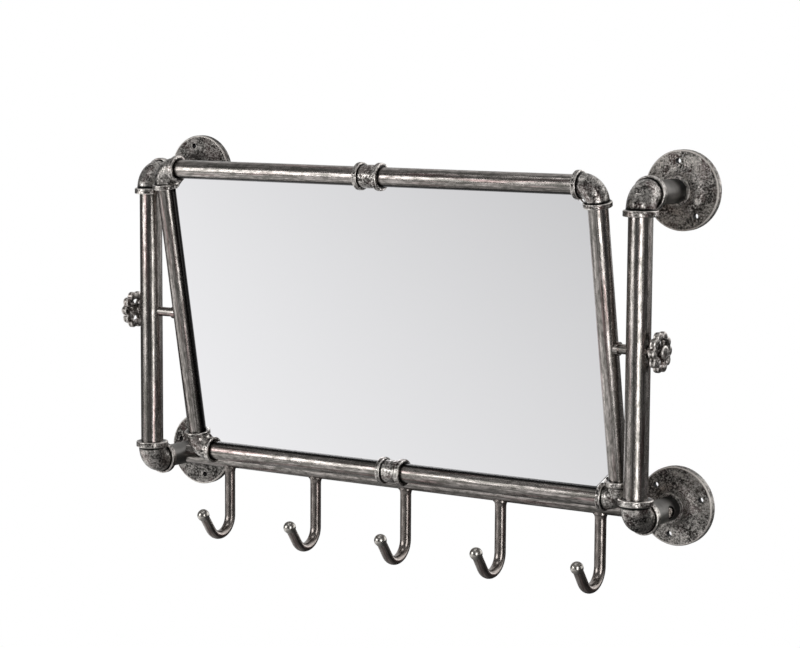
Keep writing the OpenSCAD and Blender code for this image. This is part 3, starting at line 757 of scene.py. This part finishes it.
class WALLMIRROR_OT_pipes(bpy.types.Operator):
    """Gives the upright pipes, arms, frame tubes, bars, rail, shafts and rail screws their finishes"""
    bl_idname = "wallmirror.pipes"
    bl_label = "Pipes and arms"

    def execute(self, context):
        size, colours = context.scene.mirror_fittings, context.scene.mirror_colours
        # Less than the bars' distance from the pivots, so that the painted shade reaches further round them
        bar_shade_reach = 0.85 * (size.top_h + size.bottom_h) / 2 * math.cos(size.lean)
        upright = brushed_pipe("brushed steel pipe, upright", colours, 2)
        level = brushed_pipe("brushed steel pipe, rail and shafts", colours, 0)
        bars = brushed_pipe("brushed steel pipe, bars", colours, 0, reach=("Z", bar_shade_reach))
        leans = brushed_pipe("brushed steel pipe, leaning", colours, 2, size.lean,
                             reach=("X", size.frame_half))
        arm = turned_steel("phosphated turned steel", colours)
        screw = zinc_plate("bright zinc-plated steel", colours)
        for mat, nodes in (
                (upright, ("upright_left", "upright_right")),
                (level, ("hook_rail", "pivot_shaft_left", "pivot_shaft_right")),
                (bars, ("bar_top_left", "bar_top_right", "bar_bottom_left", "bar_bottom_right")),
                (leans, ("side_left", "side_right")),
                (arm, ("arm_top_left", "arm_top_right", "arm_bottom_left", "arm_bottom_right")),
                (screw, ("rail_screws",))):
            for node in nodes:
                finish_node(node, mat)
        return {"FINISHED"}


class WALLMIRROR_OT_fittings(bpy.types.Operator):
    """Builds the eight elbows and the two couplings with rounded, rubbed collars"""
    bl_idname = "wallmirror.fittings"
    bl_label = "Elbows and couplings"

    def execute(self, context):
        size = context.scene.mirror_fittings
        iron = bpy.data.materials["malleable iron fitting"]
        for row, up, height, across in (("top", 1, size.top_h, size.top_joint),
                                        ("bottom", -1, -size.bottom_h, -size.bottom_joint)):
            for side, out in (("left", -1), ("right", 1)):
                corner = row + "_" + side
                big = elbow_mesh("bracket_elbow_" + corner, size.big_body, size.big_collar, size.big_collar_w,
                                 size.big_bend, size.pipe)
                place = (Matrix.Translation((out * UPRIGHT_X, UPRIGHT_Y, up * ARM_Z))
                         @ Matrix.Scale(up, 4, (0, 0, 1)) @ Matrix.Rotation(math.pi / 2, 4, "Z"))
                settle(big, place, iron)
                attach(big, "bracket")
                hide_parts("elbow_" + corner)
                small = elbow_mesh("corner_elbow_" + corner, size.small_body, size.small_collar,
                                   size.small_collar_w, size.small_bend, size.tube)
                place = (leaning(size) @ Matrix.Translation((out * size.frame_half, 0, height))
                         @ Matrix.Scale(-out, 4, (1, 0, 0)) @ Matrix.Scale(up, 4, (0, 0, 1)))
                settle(small, place, iron)
                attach(small, "mirror_frame")
                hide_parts("frame_elbow_" + corner)
            joiner = coupling_mesh("bar_coupling_" + row, size.small_body, size.small_collar,
                                   size.small_collar_w, size.coupling, size.tube)
            settle(joiner, leaning(size) @ Matrix.Translation((across, 0, height)), iron)
            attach(joiner, "mirror_frame")
            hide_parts("coupling_" + row)
        return {"FINISHED"}


class WALLMIRROR_OT_hooks(bpy.types.Operator):
    """Builds the five hooks: weld, shank, open bend, straight tip and ball"""
    bl_idname = "wallmirror.hooks"
    bl_label = "Hooks"

    def execute(self, context):
        scene = context.scene
        size = scene.mirror_hooks
        rod = brushed_pipe("brushed and blackened steel rod", scene.mirror_colours, 0, spacing=0.9 * MM,
                           run=25 * MM, hook=True)
        for i in range(5):
            hook = hook_mesh("hook_bent_%d" % (i + 1), size, scene.mirror_fittings.tube)
            settle(hook, Matrix.Translation(((i - 2) * size.pitch, RAIL.y, RAIL.z)), rod, 50)
            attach(hook, "bracket")
            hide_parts("hook_%d" % (i + 1))
        return {"FINISHED"}


class WALLMIRROR_OT_handwheels(bpy.types.Operator):
    """Builds the two lobed handwheels with their spokes and hubs"""
    bl_idname = "wallmirror.handwheels"
    bl_label = "Handwheels"

    def execute(self, context):
        size, colours = context.scene.mirror_wheels, context.scene.mirror_colours
        iron = casting("blackened iron handwheel", colours, edge_wear_and_shade, colours.wheel_dark,
                       colours.wheel_light)
        for side, out in (("left", -1), ("right", 1)):
            parts = [lobed_ring("rim", size)]
            for i in range(size.spokes):
                parts.append(spoke("spoke", size, 2 * math.pi * i / size.spokes))
            parts.append(hub("hub", size))
            rim = UPRIGHT_X + context.scene.mirror_fittings.pipe + size.off
            place = (Matrix.Translation((out * rim, PIVOT.y, PIVOT.z)) @ Matrix.Scale(out, 4, (1, 0, 0))
                     @ Matrix.Rotation(math.pi / 2, 4, "Y") @ Matrix.Rotation(math.pi / 2, 4, "Z"))
            for part in parts:
                settle(part, place, iron, 55)
            wheel = join("clamp_wheel_" + side, parts)
            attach(wheel, "handwheel_" + side)
            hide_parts("handwheel_" + side)
        return {"FINISHED"}


class WALLMIRROR_OT_glass(bpy.types.Operator):
    """Finishes the mirror glass and the board behind it"""
    bl_idname = "wallmirror.glass"
    bl_label = "Glass and board"

    def execute(self, context):
        colours = context.scene.mirror_colours
        finish_node("mirror_glass", silvered_glass("silvered float glass", colours))
        finish_node("backing_board", hardboard("pressed hardboard", colours))
        return {"FINISHED"}


class WALLMIRROR_OT_stage(bpy.types.Operator):
    """Builds the pale floor, the soft studio light and the camera"""
    bl_idname = "wallmirror.stage"
    bl_label = "Stage and camera"

    def execute(self, context):
        scene = context.scene
        scene.view_settings.view_transform = "Standard"
        bpy.ops.mesh.primitive_plane_add(size=FLOOR_SIZE, location=(0, 0, FLOOR_Z))
        floor = bpy.context.object
        floor.name = "studio_floor"
        floor.data.materials.append(floor_paint("pale painted floor", scene.mirror_colours.floor))
        scene.world = studio_world()
        for box in SOFT_BOXES:
            area_light(*box)
        camera = bpy.data.objects.new("photo_camera", bpy.data.cameras.new("photo_camera"))
        scene.collection.objects.link(camera)
        camera.location = CAMERA_SPOT
        camera.rotation_euler = (Matrix.Rotation(CAMERA_TURN, 4, "Z")
                                 @ Matrix.Rotation(math.pi / 2 - CAMERA_DOWN, 4, "X")
                                 @ Matrix.Rotation(CAMERA_ROLL, 4, "Z")).to_euler()
        camera.data.lens = FOCAL_PIXELS / PICTURE_WIDTH_PIXELS * SENSOR_WIDTH
        camera.data.sensor_width = SENSOR_WIDTH
        scene.camera = camera
        return {"FINISHED"}


class WALLMIRROR_PT_panel(bpy.types.Panel):
    """Lists the steps that dress the mirror"""
    bl_idname = "WALLMIRROR_PT_panel"
    bl_label = "Wall mirror"
    bl_space_type = "VIEW_3D"
    bl_region_type = "UI"
    bl_category = "Wall mirror"

    def draw(self, context):
        for step in STEPS:
            self.layout.operator("wallmirror." + step)


STEPS = ("finishes", "pipes", "fittings", "hooks", "handwheels", "glass", "stage")
CLASSES = (MirrorFittingSizes, MirrorHookSizes, MirrorWheelSizes, MirrorColours, WALLMIRROR_OT_finishes,
           WALLMIRROR_OT_pipes, WALLMIRROR_OT_fittings, WALLMIRROR_OT_hooks, WALLMIRROR_OT_handwheels,
           WALLMIRROR_OT_glass, WALLMIRROR_OT_stage, WALLMIRROR_PT_panel)


def register():
    for c in CLASSES:
        bpy.utils.register_class(c)
    bpy.types.Scene.mirror_fittings = bpy.props.PointerProperty(type=MirrorFittingSizes)
    bpy.types.Scene.mirror_hooks = bpy.props.PointerProperty(type=MirrorHookSizes)
    bpy.types.Scene.mirror_wheels = bpy.props.PointerProperty(type=MirrorWheelSizes)
    bpy.types.Scene.mirror_colours = bpy.props.PointerProperty(type=MirrorColours)


def unregister():
    for name in ("mirror_fittings", "mirror_hooks", "mirror_wheels", "mirror_colours"):
        delattr(bpy.types.Scene, name)
    for c in reversed(CLASSES):
        bpy.utils.unregister_class(c)


def main():
    register()
    bpy.ops.wallmirror.finishes()
    bpy.ops.wallmirror.pipes()
    bpy.ops.wallmirror.fittings()
    bpy.ops.wallmirror.hooks()
    bpy.ops.wallmirror.handwheels()
    bpy.ops.wallmirror.glass()
    bpy.ops.wallmirror.stage()


if __name__ == "__main__":
    main()
